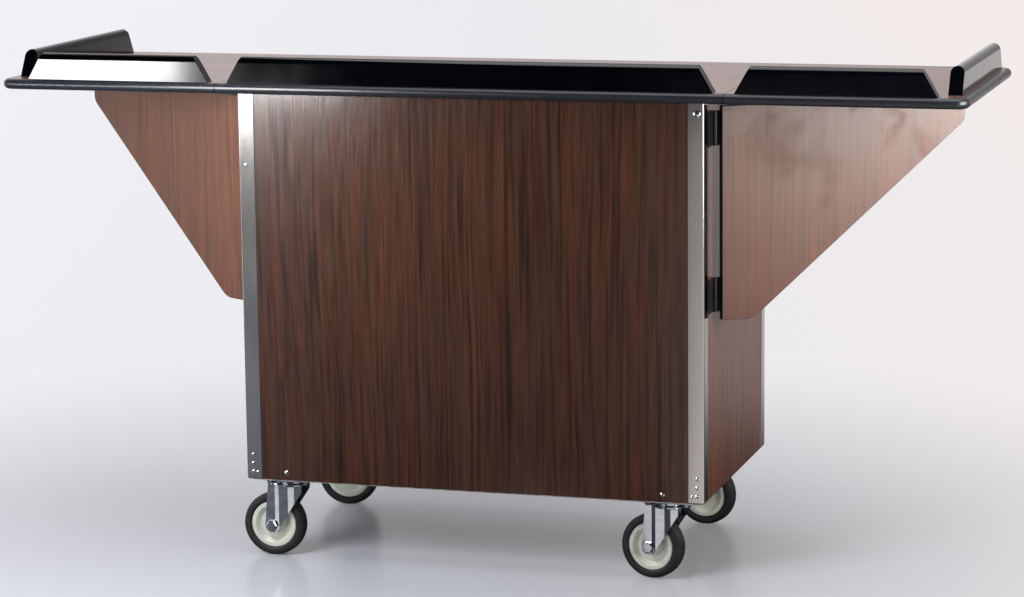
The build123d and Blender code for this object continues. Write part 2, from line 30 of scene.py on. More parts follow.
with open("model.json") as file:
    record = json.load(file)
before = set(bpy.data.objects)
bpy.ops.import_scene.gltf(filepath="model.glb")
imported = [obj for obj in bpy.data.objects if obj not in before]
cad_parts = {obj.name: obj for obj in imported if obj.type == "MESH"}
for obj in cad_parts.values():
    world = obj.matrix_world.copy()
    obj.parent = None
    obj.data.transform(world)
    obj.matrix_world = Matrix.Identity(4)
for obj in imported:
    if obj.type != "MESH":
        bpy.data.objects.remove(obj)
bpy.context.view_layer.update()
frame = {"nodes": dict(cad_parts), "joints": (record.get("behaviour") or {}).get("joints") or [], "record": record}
nodes = frame["nodes"]
joints = {joint["name"]: joint for joint in frame["joints"]}

SIDES = {"left": -1, "right": 1}
FRONT = (0, -1, 0)
BACK = (0, 1, 0)
UP = (0, 0, 1)
DOWN = (0, 0, -1)

# Node graphs for the materials and the world
NOISE_MIDDLE = 0.5
NOISE_SPAN = (0.3, 0.7)  # where most of the values of a noise lie
TONE_SPAN = (0.35, 0.65)  # where a noise goes from a dark to a light tone
MIX_FACTOR = 0  # the sockets of a node that mixes colours
MIX_FIRST = 6
MIX_SECOND = 7
MIX_RESULT = 2


def opaque(color):
    """A colour with its alpha, or a socket as it is."""
    return (*color, 1) if isinstance(color, tuple) else color


def scaled(color, level):
    """A colour with each channel multiplied."""
    return tuple(level * channel for channel in color)


class Graph:
    """A node tree, with short ways to add nodes to it."""

    def __init__(self, tree):
        self.tree = tree

    def put(self, socket, value):
        """Link a socket to another, or set its value."""
        if isinstance(value, bpy.types.NodeSocket):
            self.tree.links.new(value, socket)
        else:
            socket.default_value = value

    def node(self, kind, settings=(), inputs=()):
        """A new node with its settings and its inputs, by name or number."""
        new = self.tree.nodes.new(kind)
        for key, value in dict(settings).items():
            setattr(new, key, value)
        for key, value in dict(inputs).items():
            self.put(new.inputs[key], value)
        return new

    def math(self, operation, first, second=0.0):
        """A number worked out from one or two others."""
        return self.node("ShaderNodeMath", {"operation": operation}, {0: first, 1: second}).outputs[0]

    def vector_math(self, operation, first, second):
        """The outputs, Vector or Value, of an operation on two vectors."""
        return self.node("ShaderNodeVectorMath", {"operation": operation}, {0: first, 1: second}).outputs

    def total(self, *shares, start=0.0):
        """A starting number and others added to it, each given with its share."""
        result = start
        for value, share in shares:
            result = self.math("ADD", result, self.math("MULTIPLY", value, share))
        return result

    def spread(self, value, source, target=(0.0, 1.0), smooth=False):
        """A value carried from one range to another, held within it."""
        inputs = {
            "Value": value,
            "From Min": source[0],
            "From Max": source[1],
            "To Min": target[0],
            "To Max": target[1],
        }
        settings = {"interpolation_type": "SMOOTHSTEP" if smooth else "LINEAR"}
        return self.node("ShaderNodeMapRange", settings, inputs).outputs[0]

    def ramp(self, value, stops):
        """A colour ramp with (place, colour) stops."""
        node = self.node("ShaderNodeValToRGB", (), {0: value})
        elements = node.color_ramp.elements
        while len(elements) < len(stops):
            elements.new(0.5)
        for element, (place, color) in zip(elements, stops):
            element.position = place
            element.color = opaque(color)
        return node.outputs[0]

    def mix(self, factor, first, second, blend="MIX"):
        """Two colours mixed, or the first multiplied by the second as far as the factor says."""
        settings = {"data_type": "RGBA", "blend_type": blend}
        inputs = {MIX_FACTOR: factor, MIX_FIRST: opaque(first), MIX_SECOND: opaque(second)}
        return self.node("ShaderNodeMix", settings, inputs).outputs[MIX_RESULT]

    def mix_shader(self, factor, first, second):
        """Two shaders mixed."""
        return self.node("ShaderNodeMixShader", (), {0: factor, 1: first, 2: second}).outputs[0]


class Shader(Graph):
    """A material's node tree, with its main shader and patterns in object coordinates."""

    def __init__(self, name):
        self.material = bpy.data.materials.new(name)
        self.material.use_nodes = True
        super().__init__(self.material.node_tree)
        self.surface = self.tree.nodes["Principled BSDF"]
        self.place = self.node("ShaderNodeTexCoord").outputs["Object"]

    def finish(self, inputs):
        """Set the main shader's inputs by name and return the material."""
        for key, value in inputs.items():
            self.put(self.surface.inputs[key], value)
        return self.material

    def turned(self, turn):
        """Object coordinates, turned about each axis."""
        inputs = {"Vector": self.place, "Rotation": [radians(angle) for angle in turn]}
        return self.node("ShaderNodeMapping", (), inputs).outputs[0]

    def noise(self, across, along=None, place=None, detail=2.0, roughness=0.5, distortion=0.0):
        """Noise with so many cycles a metre across Z and along it, or as many each way."""
        cycles = (across, across, along or across)
        stretched = self.node("ShaderNodeMapping", (), {"Vector": place or self.place, "Scale": cycles})
        inputs = {
            "Vector": stretched.outputs[0],
            "Scale": 1.0,
            "Detail": detail,
            "Roughness": roughness,
            "Distortion": distortion,
        }
        return self.node("ShaderNodeTexNoise", (), inputs).outputs[0]

    def two_tone(self, value, dark, light, span=TONE_SPAN):
        """A colour that goes from dark to light as a value goes over a span."""
        return self.ramp(value, ((span[0], dark), (span[1], light)))

    def bump(self, height, distance, strength):
        """The surface's direction with a fine relief."""
        inputs = {"Height": height, "Distance": distance, "Strength": strength}
        return self.node("ShaderNodeBump", (), inputs).outputs[0]


# Woodgrain laminate: its shades, the tints of its streaks, veins and pores, and the cycles of
# each pattern in a metre across and along the grain
WOOD_SHADES = (
    (0.26, (0.0210, 0.0074, 0.0047)),
    (0.42, (0.0580, 0.0198, 0.0100)),
    (0.55, (0.0920, 0.0335, 0.0162)),
    (0.76, (0.1250, 0.0485, 0.0235)),
)
WOOD_MEAN = (0.0720, 0.0262, 0.0135)
RED_TINT = (1.28, 1.00, 0.80)
OLIVE_TINT = (0.96, 1.01, 0.96)
PLUM_TINT = (0.94, 0.93, 1.08)
VEIN_TINT = (0.34, 0.32, 0.38)
PORE_COLOR = (0.014, 0.006, 0.004)
SWAY_CYCLES = (4.0, 1.1)
RING_CYCLES = (4.5, 0.6)
BROAD_CYCLES = (13, 0.9)
STREAK_CYCLES = (108, 3.2)
FIBRE_CYCLES = (330, 8)
HUE_CYCLES = (46, 2.4)
PLUM_CYCLES = (24, 1.6)
VEIN_CYCLES = (125, 2.2)
PORE_CYCLES = (800, 26)
SMUDGE_CYCLES = 9
SWAY_REACH = 0.05
RING_COUNT = 22
TONE_START = -0.02
RING_SHARE = 0.03
STREAK_SHARE = 0.68
BROAD_SHARE = 0.24
FIBRE_SHARE = 0.32
RED_SPAN = (0.50, 0.66)
OLIVE_SPAN = (0.50, 0.34)
PLUM_SPAN = (0.50, 0.66)
VEIN_SPAN = (0.50, 0.64)
VEIN_DEPTH = 0.82
PORE_SPAN = (0.62, 0.72)
PORE_DEPTH = 0.45
FIBRE_HEIGHT = 0.4
SMUDGE_SPAN = (0.52, 0.70)
SMUDGE_ROUGHNESS = 0.18
WOOD_ROUGHNESS = (0.25, 0.31)


def wood_laminate(name, level, gloss, turn=(0, 0, 0), calm=0.0, dull=0.0, smudges=0.0):
    """Satin woodgrain laminate, the grain along Z before the turn. Level scales its colours, and is set per piece
    to paint in the light and shade that the piece gets; calm evens them out, dull adds to its roughness, and
    smudges roughen it in clouds."""
    wood = Shader(name)
    place = wood.turned(turn)
    sway = wood.noise(*SWAY_CYCLES, place, detail=1.0)
    sway = wood.math("MULTIPLY", wood.math("SUBTRACT", sway, NOISE_MIDDLE), SWAY_REACH)
    shift = wood.node("ShaderNodeCombineXYZ", (), {0: sway, 1: sway}).outputs[0]
    grain = wood.vector_math("ADD", place, shift)["Vector"]

    figure = wood.noise(*RING_CYCLES, grain, detail=1.0)
    rings = wood.math("SINE", wood.math("MULTIPLY", figure, 2 * pi * RING_COUNT))
    broad = wood.noise(*BROAD_CYCLES, grain)
    streak = wood.noise(*STREAK_CYCLES, grain, detail=3.0, roughness=0.58)
    fibre = wood.noise(*FIBRE_CYCLES, grain, roughness=0.6)
    hue = wood.noise(*HUE_CYCLES, grain, detail=3.0, roughness=0.55)
    plum = wood.noise(*PLUM_CYCLES, grain, detail=3.0, roughness=0.55)
    vein = wood.noise(*VEIN_CYCLES, grain, roughness=0.6)
    pores = wood.spread(wood.noise(*PORE_CYCLES, grain, detail=1.0), PORE_SPAN)
    cloud = wood.noise(SMUDGE_CYCLES, place=place, detail=4.0, roughness=0.62, distortion=0.6)

    tone = wood.total(
        (rings, RING_SHARE),
        (streak, STREAK_SHARE),
        (broad, BROAD_SHARE),
        (fibre, FIBRE_SHARE),
        start=TONE_START,
    )
    color = wood.ramp(tone, [(stop, scaled(shade, level)) for stop, shade in WOOD_SHADES])
    color = wood.mix(wood.spread(hue, RED_SPAN), color, RED_TINT, "MULTIPLY")
    color = wood.mix(wood.spread(hue, OLIVE_SPAN), color, OLIVE_TINT, "MULTIPLY")
    color = wood.mix(wood.spread(plum, PLUM_SPAN), color, PLUM_TINT, "MULTIPLY")
    color = wood.mix(wood.spread(vein, VEIN_SPAN, (0.0, VEIN_DEPTH)), color, VEIN_TINT, "MULTIPLY")
    color = wood.mix(calm, color, scaled(WOOD_MEAN, level))
    color = wood.mix(wood.math("MULTIPLY", pores, PORE_DEPTH * (1.0 - calm)), color, PORE_COLOR)

    rough = wood.spread(fibre, NOISE_SPAN, [dull + end for end in WOOD_ROUGHNESS])
    marks = wood.spread(cloud, SMUDGE_SPAN, (0.0, smudges * SMUDGE_ROUGHNESS))
    height = wood.math("SUBTRACT", wood.math("MULTIPLY", fibre, FIBRE_HEIGHT), pores)
    return wood.finish({
        "Base Color": color,
        "Roughness": wood.math("ADD", rough, marks),
        "Specular IOR Level": gloss,
        "Normal": wood.bump(height, distance=0.00003, strength=0.15),
    })


# The other finishes
def gloss_black(name):
    """Polished black sheet with a faint ripple and finger haze."""
    sheet = Shader(name)
    haze = sheet.noise(14, detail=4.0, roughness=0.6)
    ripple = sheet.noise(40, detail=1.0)
    dark = (0.0003, 0.0006, 0.0017)
    light = (0.0008, 0.0012, 0.0030)
    return sheet.finish({
        "Base Color": sheet.two_tone(haze, dark, light, span=(0.35, 0.70)),
        "Roughness": sheet.spread(haze, source=(0.35, 0.75), target=(0.085, 0.125)),
        "Normal": sheet.bump(ripple, distance=0.0001, strength=0.10),
    })


def satin_vinyl(name):
    """Extruded black vinyl with a soft sheen and a little dust."""
    vinyl = Shader(name)
    dust = vinyl.noise(260, detail=4.0, roughness=0.7)
    sheen = vinyl.noise(across=30, along=300, detail=3.0)
    dark = (0.0075, 0.0092, 0.0130)
    light = (0.0175, 0.0200, 0.0255)
    return vinyl.finish({
        "Base Color": vinyl.two_tone(dust, dark, light, span=(0.40, 0.75)),
        "Roughness": vinyl.spread(sheen, NOISE_SPAN, target=(0.27, 0.35)),
        "Normal": vinyl.bump(dust, distance=0.00002, strength=0.3),
    })


def brushed_metal(name, tone, roughness):
    """Bright metal brushed along Z, with fine scratches."""
    metal = Shader(name)
    lines = metal.noise(across=1500, along=14, detail=3.0, roughness=0.6)
    cloud = metal.noise(across=16, along=5, detail=3.0, roughness=0.6)
    dark = scaled(tone, level=0.82)
    return metal.finish({
        "Base Color": metal.two_tone(metal.total((lines, 0.5), (cloud, 0.5)), dark, tone),
        "Metallic": 1.0,
        "Roughness": metal.spread(metal.total((lines, 0.4), (cloud, 0.6)), NOISE_SPAN, roughness),
        "Normal": metal.bump(lines, distance=0.00002, strength=0.35),
    })


def galvanised(name):
    """Zinc coated sheet with a faint spangle."""
    steel = Shader(name)
    inputs = {"Vector": steel.place, "Scale": 55.0, "Randomness": 1.0}
    cells = steel.node("ShaderNodeTexVoronoi", (), inputs).outputs["Position"]
    flake = steel.noise(40, place=cells, detail=0.0)
    return steel.finish({
        "Base Color": steel.two_tone(flake, dark=(0.44, 0.455, 0.465), light=(0.60, 0.61, 0.615)),
        "Metallic": 1.0,
        "Roughness": steel.spread(flake, NOISE_SPAN, target=(0.34, 0.50)),
    })


def zinc(name):
    """Bright zinc plate, cloudy and slightly blue."""
    plate = Shader(name)
    cloud = plate.noise(60, detail=4.0, roughness=0.65)
    fine = plate.noise(900)
    worn = plate.total((cloud, 0.6), (fine, 0.4))
    return plate.finish({
        "Base Color": plate.two_tone(cloud, dark=(0.54, 0.60, 0.68), light=(0.74, 0.77, 0.80)),
        "Metallic": 1.0,
        "Roughness": plate.spread(worn, NOISE_SPAN, target=(0.09, 0.17)),
        "Normal": plate.bump(fine, distance=0.00003, strength=0.2),
    })


def black_paint(name):
    """Satin black paint, rubbed through to metal in small specks."""
    paint = Shader(name)
    specks = paint.spread(paint.noise(330, detail=4.0, roughness=0.7), source=(0.66, 0.72))
    black = (0.010, 0.010, 0.011)
    bare = (0.35, 0.35, 0.36)
    return paint.finish({
        "Base Color": paint.mix(specks, black, bare),
        "Metallic": specks,
        "Roughness": paint.spread(paint.noise(90), NOISE_SPAN, target=(0.35, 0.50)),
    })


def moulded(name, dark, light, roughness, grain=500.0, gloss=0.5):
    """Moulded plastic or rubber with a fine even texture."""
    plastic = Shader(name)
    fine = plastic.noise(grain, detail=3.0, roughness=0.6)
    cloud = plastic.noise(35, detail=3.0, roughness=0.6)
    tone = plastic.total((fine, 0.35), (cloud, 0.65))
    return plastic.finish({
        "Base Color": plastic.two_tone(tone, dark, light),
        "Roughness": plastic.spread(tone, NOISE_SPAN, roughness),
        "Specular IOR Level": gloss,
        "Normal": plastic.bump(fine, distance=0.00005, strength=0.4),
    })


finishes = {
    "laminate": wood_laminate("panel_laminate", level=1.05, gloss=0.6, calm=0.35),
    # The counter's laminate is a lighter copy of the panel laminate, its level 2.0 against 1.05, with painted
    # light in its colours
    "counter_laminate": wood_laminate("counter_laminate", level=2.0, gloss=0.45, turn=(0, 90, 0), calm=0.4),
    "post_metal": brushed_metal("post_metal", tone=(0.80, 0.785, 0.765), roughness=(0.09, 0.15)),
    "sheet_steel": galvanised("sheet_steel"),
    "rail_black": gloss_black("rail_black"),
    "edge_vinyl": satin_vinyl("edge_vinyl"),
    "hinge_black": black_paint("hinge_black"),
    "zinc_plate": zinc("zinc_plate"),
    "nylon_black": moulded(
        "nylon_black",
        dark=(0.012, 0.012, 0.012),
        light=(0.026, 0.026, 0.027),
        roughness=(0.42, 0.55),
    ),
    "hub_grey": moulded(
        "hub_grey",
        dark=(0.52, 0.53, 0.455),
        light=(0.64, 0.65, 0.57),
        roughness=(0.36, 0.48),
        grain=250.0,
    ),
    "tyre_black": moulded(
        "tyre_black",
        dark=(0.008, 0.008, 0.010),
        light=(0.020, 0.020, 0.023),
        roughness=(0.50, 0.66),
        grain=350.0,
        gloss=0.35,
    ),
}
# The front's laminate is a darker copy of the same laminate, its level 0.44 against 1.05, with painted shade in
# its colours; it is also glossier and smoother
front_laminate = wood_laminate("front_laminate", level=0.44, gloss=0.95, dull=-0.09)
# The brackets' laminate is a lighter copy, its level 1.20 against 1.05, with painted light in its colours; it is
# evened out more and roughened in clouds
bracket_laminate = wood_laminate(
    "bracket_laminate", level=1.20, gloss=0.6, calm=0.55, dull=0.04, smudges=1.0
)


def dress(piece, material):
    """Give a piece one material."""
    piece.data.materials.clear()
    piece.data.materials.append(material)


for subpart in frame["record"]["subparts"]:
    dress(nodes[subpart["node"]], finishes[subpart["material_slot"]])
for side in SIDES:
    dress(nodes[f"{side}_bracket"], bracket_laminate)
dress(nodes["front_panel"], front_laminate)


# Small fasteners, turned from profiles and set on the faces that they hold
HEAD_STEPS = 24
DOME_STEPS = 5
SHARP_ANGLE = 40
FULL_TURN = 360


def lathe(bm, profile, steps):
    """Turn a profile of (radius, height) points about Z, closing the ends on the axis."""
    rings = []
    for radius, height in profile:
        if radius == 0:
            rings.append([bm.verts.new((0, 0, height))])
            continue
        ring = []
        for i in range(steps):
            angle = 2 * pi * i / steps
            ring.append(bm.verts.new((radius * cos(angle), radius * sin(angle), height)))
        rings.append(ring)
    for lower, upper in zip(rings, rings[1:]):
        for i in range(steps):
            j = (i + 1) % steps
            if len(lower) == 1:
                bm.faces.new((lower[0], upper[j], upper[i]))
            elif len(upper) == 1:
                bm.faces.new((lower[i], lower[j], upper[0]))
            else:
                bm.faces.new((lower[i], lower[j], upper[j], upper[i]))


def turned_mesh(name, profile, steps=HEAD_STEPS):
    """A mesh turned from a profile, standing on Z = 0."""
    bm = bmesh.new()
    lathe(bm, profile, steps)
    bmesh.ops.recalc_face_normals(bm, faces=bm.faces)
    mesh = bpy.data.meshes.new(name)
    bm.to_mesh(mesh)
    bm.free()
    return mesh


def dome(radius, height, rim, inner):
    """Profile points up over a dome, from its rim to an inner radius."""
    points = []
    for i in range(DOME_STEPS + 1):
        share = i / DOME_STEPS
        here = radius + (inner - radius) * share
        points.append((here, rim + (height - rim) * sin(pi / 2 * share)))
    return points


def cross_cutter(length, width, depth, top):
    """The cross that is cut into a screw head, down from its top."""
    bm = bmesh.new()
    for turn in (0, 90):
        size = Matrix.Diagonal((length, width, 2 * depth, 1))
        place = Matrix.Translation((0, 0, top)) @ Matrix.Rotation(radians(turn), 4, "Z") @ size
        bmesh.ops.create_cube(bm, size=1.0, matrix=place)
    mesh = bpy.data.meshes.new("cross_cutter")
    bm.to_mesh(mesh)
    bm.free()
    return mesh


def cut_recess(name, blank, cross):
    """A head with the cross recess cut into it."""
    head = bpy.data.objects.new(name, blank)
    cutter = bpy.data.objects.new("cross_cutter", cross)
    for item in (head, cutter):
        bpy.context.scene.collection.objects.link(item)
    cut = head.modifiers.new("recess", "BOOLEAN")
    cut.operation = "DIFFERENCE"
    cut.object = cutter
    cut.solver = "EXACT"
    cut.use_self = True
    shape = bpy.context.evaluated_depsgraph_get()
    mesh = bpy.data.meshes.new_from_object(head.evaluated_get(shape))
    for item in (head, cutter):
        bpy.data.objects.remove(item)
    return mesh


def facing(point, outward, spin=0.0):
    """A matrix that stands Z along outward at a point, turned about it."""
    turn = Vector(outward).to_track_quat("Z", "Y").to_matrix().to_4x4()
    return Matrix.Translation(point) @ turn @ Matrix.Rotation(radians(spin), 4, "Z")


def scatter(name, placed):
    """One mesh holding a copy of each (mesh, matrix) pair."""
    bm = bmesh.new()
    for master, place in placed:
        start = len(bm.verts)
        bm.from_mesh(master)
        bm.verts.ensure_lookup_table()
        bmesh.ops.transform(bm, matrix=place, verts=bm.verts[start:])
    mesh = bpy.data.meshes.new(name)
    bm.to_mesh(mesh)
    bm.free()
    mesh.shade_smooth()
    mesh.set_sharp_from_angle(angle=radians(SHARP_ANGLE))
    return mesh


def add_fasteners(name, placed, body, slot):
    """Put fasteners in the scene as one piece that rides on a body."""
    piece = bpy.data.objects.new(name, scatter(name, placed))
    bpy.context.scene.collection.objects.link(piece)
    dress(piece, finishes[slot])
    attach(piece, body)


# Fasteners on the panel and posts: domed cross-head screws, hollow rivets, and one countersunk
# screw in a dished washer. Places are off the middle of the cart and up or down from an edge.
SCREW_RADIUS = 0.0046
SCREW_HEIGHT = 0.0026
SCREW_RIM = 0.0006
SCREW_TURN = 20
DRIVE_WIDTH = 0.0011
DRIVE_LENGTH = 0.0050
DRIVE_DEPTH = 0.0013
RIVET_RADIUS = 0.0036
RIVET_HEIGHT = 0.0014
RIVET_RIM = 0.0003
RIVET_BORE = 0.0012
RIVET_DEPTH = 0.0010
WASHER_RADIUS = 0.0070
WASHER_HEIGHT = 0.0020
WASHER_RIM = 0.0003
WASHER_MOUTH = 0.0042
WASHER_LIP = 0.0006
WASHER_DISH = 0.0005
SUNK_HEAD_SHARE = 0.6
SUNK_HEAD_DROP = 0.0001
PANEL_SCREW = (0.370, 0.014)
POST_MIDDLE = 0.437
POST_RIVETS = ((POST_MIDDLE, 0.012), (POST_MIDDLE, 0.028), (POST_MIDDLE, 0.045), (0.428, 0.011))
LEFT_RIVET_DROP = 0.1355
RIGHT_WASHER_DROP = 0.0200

screw_blank = turned_mesh(
    "screw",
    [
        (0, 0),
        (SCREW_RADIUS, 0),
        *dome(SCREW_RADIUS, SCREW_HEIGHT, SCREW_RIM, 0),
    ],
)
screw_cross = cross_cutter(DRIVE_LENGTH, DRIVE_WIDTH, DRIVE_DEPTH, SCREW_HEIGHT)
screw = cut_recess("screw", screw_blank, screw_cross)
rivet = turned_mesh(
    "rivet",
    [
        (0, 0),
        (RIVET_RADIUS, 0),
        *dome(RIVET_RADIUS, RIVET_HEIGHT, RIVET_RIM, RIVET_BORE),
        (RIVET_BORE, RIVET_HEIGHT - RIVET_DEPTH),
        (0, RIVET_HEIGHT - RIVET_DEPTH),
    ],
)
washer = turned_mesh(
    "washer",
    [
        (0, 0),
        (WASHER_RADIUS, 0),
        *dome(WASHER_RADIUS, WASHER_HEIGHT, WASHER_RIM, WASHER_MOUTH + WASHER_LIP),
        (WASHER_MOUTH, WASHER_HEIGHT - WASHER_DISH),
        (SUNK_HEAD_SHARE * WASHER_MOUTH, WASHER_HEIGHT - SUNK_HEAD_DROP),
        (0, WASHER_HEIGHT),
    ],
)

panel_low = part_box("front_panel")[0]
panel_places = []
for sign in SIDES.values():
    spot = (sign * PANEL_SCREW[0], panel_low.y, panel_low.z + PANEL_SCREW[1])
    panel_places.append((screw, facing(spot, FRONT, SCREW_TURN * sign)))
add_fasteners("panel_screws", panel_places, "cabinet", "zinc_plate")

post_low, post_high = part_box("post_front_left")
post_places = []
for sign in SIDES.values():
    for across, rise in POST_RIVETS:
        post_places.append((rivet, facing((sign * across, post_low.y, post_low.z + rise), FRONT)))
left_spot = (-POST_MIDDLE, post_low.y, post_high.z - LEFT_RIVET_DROP)
right_spot = (POST_MIDDLE, post_low.y, post_high.z - RIGHT_WASHER_DROP)
post_places.append((rivet, facing(left_spot, FRONT)))
post_places.append((washer, facing(right_spot, FRONT)))
add_fasteners("post_rivets", post_places, "cabinet", "zinc_plate")

# Hinge screws: countersunk heads a hair proud of the hinge plates, three to a plate, each given
# as its reach over the plate and its share of the hinge's length
HINGE_HEAD_RADIUS = 0.0034
HINGE_HEAD_RISE = 0.00015
HINGE_HEAD_STEPS = 14
HINGE_RIM_SHARE = 0.4
HINGE_FACE_SHARE = 0.9
HINGE_DRIVE_LENGTH = 0.0038
HINGE_DRIVE_WIDTH = 0.0009
HINGE_DRIVE_SHARE = 0.7
HINGE_SCREWS = ((0.014, 0.18), (0.024, 0.50), (0.014, 0.82))
BRACKET_HINGE_MIDDLES = (0.5376, 0.8463)
BRACKET_HINGE_LENGTH = 0.064
BRACKET_TURN = radians(30)
LEAF_HINGE_MIDDLES = (-0.130, 0.130)
LEAF_HINGE_LENGTH = 0.100
PLATE_FACE = -0.0033  # how far the face of a level or fixed plate is off the axis of its pin
SWUNG_FACE = 0.0050  # the same for the plate on the back of a bracket

hinge_blank = turned_mesh(
    "hinge_screw",
    [
        (0, 0),
        (HINGE_HEAD_RADIUS, 0),
        (HINGE_HEAD_RADIUS, HINGE_RIM_SHARE * HINGE_HEAD_RISE),
        (HINGE_FACE_SHARE * HINGE_HEAD_RADIUS, HINGE_HEAD_RISE),
        (0, HINGE_HEAD_RISE),
    ],
    HINGE_HEAD_STEPS,
)
hinge_cross = cross_cutter(
    HINGE_DRIVE_LENGTH, HINGE_DRIVE_WIDTH, HINGE_DRIVE_SHARE * HINGE_HEAD_RISE, HINGE_HEAD_RISE
)
hinge_screw = cut_recess("hinge_screw", hinge_blank, hinge_cross)


def plate_screws(pin, across, outward, along, length, face):
    """The screws of one hinge plate, from an end of its pin, the ways over the plate, off its face
    and along the pin, the pin's length, and how far off the pin's axis the face is."""
    placed = []
    for reach, share in HINGE_SCREWS:
        spot = Vector(pin) + reach * Vector(across)
        spot += face * Vector(outward)
        spot += share * length * Vector(along)
        placed.append((hinge_screw, facing(spot, outward, FULL_TURN * share)))
    return placed


hinge_places = {"cabinet": []}
for side, sign in SIDES.items():
    outside = (sign, 0, 0)
    inside = (-sign, 0, 0)
    board = (sign * cos(BRACKET_TURN), sin(BRACKET_TURN), 0)
    board_back = (-sign * sin(BRACKET_TURN), cos(BRACKET_TURN), 0)
    swing = joints[f"{side}_bracket_swing"]["pos_m"]
    lift = joints[f"{side}_leaf_lift"]["pos_m"]
    hinge_places[f"{side}_bracket"] = []
    hinge_places[f"{side}_leaf"] = []
    for middle in BRACKET_HINGE_MIDDLES:
        pin = (swing[0], swing[1], middle - BRACKET_HINGE_LENGTH / 2)
        run = (UP, BRACKET_HINGE_LENGTH)
        hinge_places["cabinet"] += plate_screws(pin, FRONT, outside, *run, PLATE_FACE)
        hinge_places[f"{side}_bracket"] += plate_screws(pin, board, board_back, *run, SWUNG_FACE)
    for middle in LEAF_HINGE_MIDDLES:
        pin = (lift[0], middle - LEAF_HINGE_LENGTH / 2, lift[2])
        run = (BACK, LEAF_HINGE_LENGTH)
        hinge_places["cabinet"] += plate_screws(pin, inside, DOWN, *run, PLATE_FACE)
        hinge_places[f"{side}_leaf"] += plate_screws(pin, outside, DOWN, *run, PLATE_FACE)
for body, placed in hinge_places.items():
    add_fasteners(f"{body}_hinge_screws", placed, body, "hinge_black")

# Camera, fitted to the straight edges of the cart
CAMERA_TARGET = (0.00611, 0.0, 0.48049)
CAMERA_DISTANCE = 6.2221
CAMERA_YAW = radians(16.7775)
CAMERA_PITCH = radians(9.9644)
CAMERA_ROLL = radians(-0.6791)
IMAGE_WIDTH = 1024
FOCAL_PIXELS = 3207.99
SENSOR_WIDTH = 36.0


def make_camera():
    """A camera turned about the cart, tipped down and rolled a little."""
    level_reach = cos(CAMERA_PITCH)
    ahead = Vector((-sin(CAMERA_YAW) * level_reach, cos(CAMERA_YAW) * level_reach, -sin(CAMERA_PITCH)))
    level = Vector((cos(CAMERA_YAW), sin(CAMERA_YAW), 0))
    upright = level.cross(ahead)
    right = cos(CAMERA_ROLL) * level + sin(CAMERA_ROLL) * upright
    up = cos(CAMERA_ROLL) * upright - sin(CAMERA_ROLL) * level
    data = bpy.data.cameras.new("camera")
    data.sensor_fit = "HORIZONTAL"
    data.sensor_width = SENSOR_WIDTH
    data.lens = FOCAL_PIXELS * SENSOR_WIDTH / IMAGE_WIDTH
    camera = bpy.data.objects.new("camera", data)
    bpy.context.scene.collection.objects.link(camera)
    turn = Matrix((right, up, -ahead)).transposed().to_4x4()
    camera.matrix_world = Matrix.Translation(Vector(CAMERA_TARGET) - CAMERA_DISTANCE * ahead) @ turn
    bpy.context.scene.camera = camera


# Backdrop: cool at the left of the picture and warm at the right
BACKDROP_COOL = (0.870, 0.875, 0.925)
BACKDROP_MID = (0.830, 0.818, 0.850)
BACKDROP_WARM = (0.890, 0.835, 0.825)
BACKDROP_STOPS = ((0.0, BACKDROP_COOL), (0.5, BACKDROP_MID), (1.0, BACKDROP_WARM))
BACKDROP_SPAN = 2.2

# Floor as the camera sees it: it glows in the backdrop's tints, less and less towards a point
# under the cart, where the lit floor and the cart's shadow show through
FLOOR_RADIUS = 14.0
FLOOR_SEGMENTS = 96
FLOOR_CENTER = (-0.25, -0.10, 0.0)
FLOOR_FADE = (0.15, 2.1)
FLOOR_LIFT = 0.07
FLOOR_TONE = (0.46, 0.48, 0.53)
FLOOR_CLOUD_CYCLES = 3
FLOOR_CLOUD_LIFT = 1.04
FLOOR_ROUGHNESS = 0.27
FLOOR_SPECULAR = 0.10

# Floor as reflections see it: matte and dark, darker to the right of a slanted line. It glows
# behind the cart, along a lane at the right, and in a wedge before each front caster, which
# starts from a point and is given with its level.
MIRRORED_SHARE = 0.91
MIRRORED_LEFT = (0.068, 0.074, 0.088)
MIRRORED_RIGHT = (0.006, 0.007, 0.008)
MIRRORED_SLANT = 0.395
MIRRORED_EDGE = (-0.29, -0.17)
BEHIND_RUN = (0.3, 1.8)
BEHIND_SLANT = 0.3
BEHIND_EDGE = (-0.4, 0.5)
BEHIND_LEVELS = (1.0, 0.4)
LANE_SLANT = 0.240
LANE_EDGE = (0.44, 0.50)
LANE_RUN = (-0.8, -4.0)
LANE_LEVELS = (0.66, 0.56)
LANE_ENDS = ((-0.2, -0.6), (-8.0, -7.0))
WEDGES = ((-0.41, -0.25, 0.95), (0.34, -0.25, 0.82))
WEDGE_SIDES = ((0.48, 0.58), (1.02, 0.88))
WEDGE_ENDS = ((-0.28, -0.33), (-0.83, -0.73))

# World: how bright it is in front, behind and behind at the right, and the range of directions
# over which it changes
WORLD_FRONT = 0.02
WORLD_BACK = 1.22
WORLD_BACK_RIGHT = 0.36
WORLD_ACROSS = (-0.40, 0.32)
WORLD_AROUND = (-0.10, 0.55)


def right_of(ground, x, y, slant):
    """How far a point of the floor lies to the right of a slanted line through the origin."""
    return ground.math("SUBTRACT", x, ground.math("MULTIPLY", y, slant))


